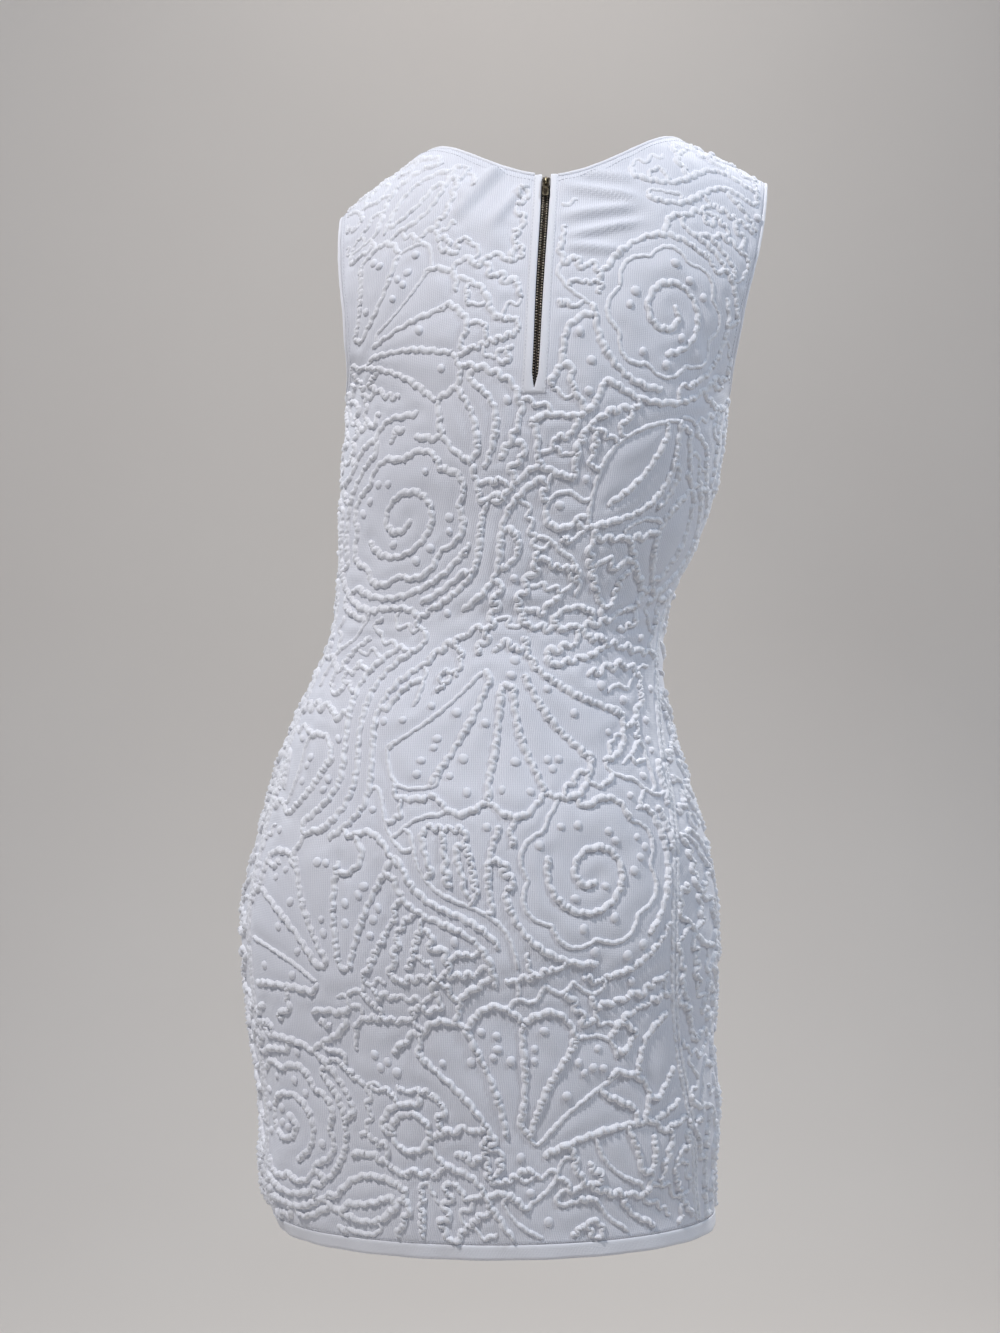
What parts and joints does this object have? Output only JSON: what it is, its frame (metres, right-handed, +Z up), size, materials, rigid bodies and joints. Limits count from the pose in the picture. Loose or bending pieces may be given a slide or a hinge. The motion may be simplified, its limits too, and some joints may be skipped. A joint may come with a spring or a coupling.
{
  "type": "sweater dress",
  "caption": "Sleeveless fitted knit dress with raised floral cord relief, narrow bound neck and armholes, plain hem band and an exposed back zip, worn shape.",
  "frame": {"origin": "mid-way between the wearer's shoulders, at the height where the dress is held", "axes": "+Z up the dress, -Y out of its front, +Y out of its back where the zip is, +X to the wearer's left"},
  "size_m": [0.432, 0.2566, 0.8912],
  "materials": {
    "relief_knit": "white knit with raised rippled cords over a fine vertical rib ground",
    "plain_knit": "plain white fine knit, topstitched",
    "zip_tape": "dark woven tape",
    "zip_metal": "antique brass, darkened"
  },
  "bodies": {
    "dress": {"back_panel": "relief_knit", "front_panel": "relief_knit", "hem_band": "plain_knit", "neck_binding": "plain_knit", "armhole_binding_left": "plain_knit", "armhole_binding_right": "plain_knit", "zip_placket": "plain_knit", "zip_tape_left": "zip_tape", "zip_tape_right": "zip_tape", "zip_chain": "zip_metal", "zip_slider": "zip_metal"},
    "pull_tab": {"zip_pull": "zip_metal"}
  },
  "joints": [
    {"name": "pull_tab_hinge", "type": "hinge", "parent": "dress", "child": "pull_tab", "pos_m": [0.00757, 0.07893, -0.05004], "axis": [0.9983, -0.0495, 0.0299], "range_deg": [0, 165]}
  ]
}
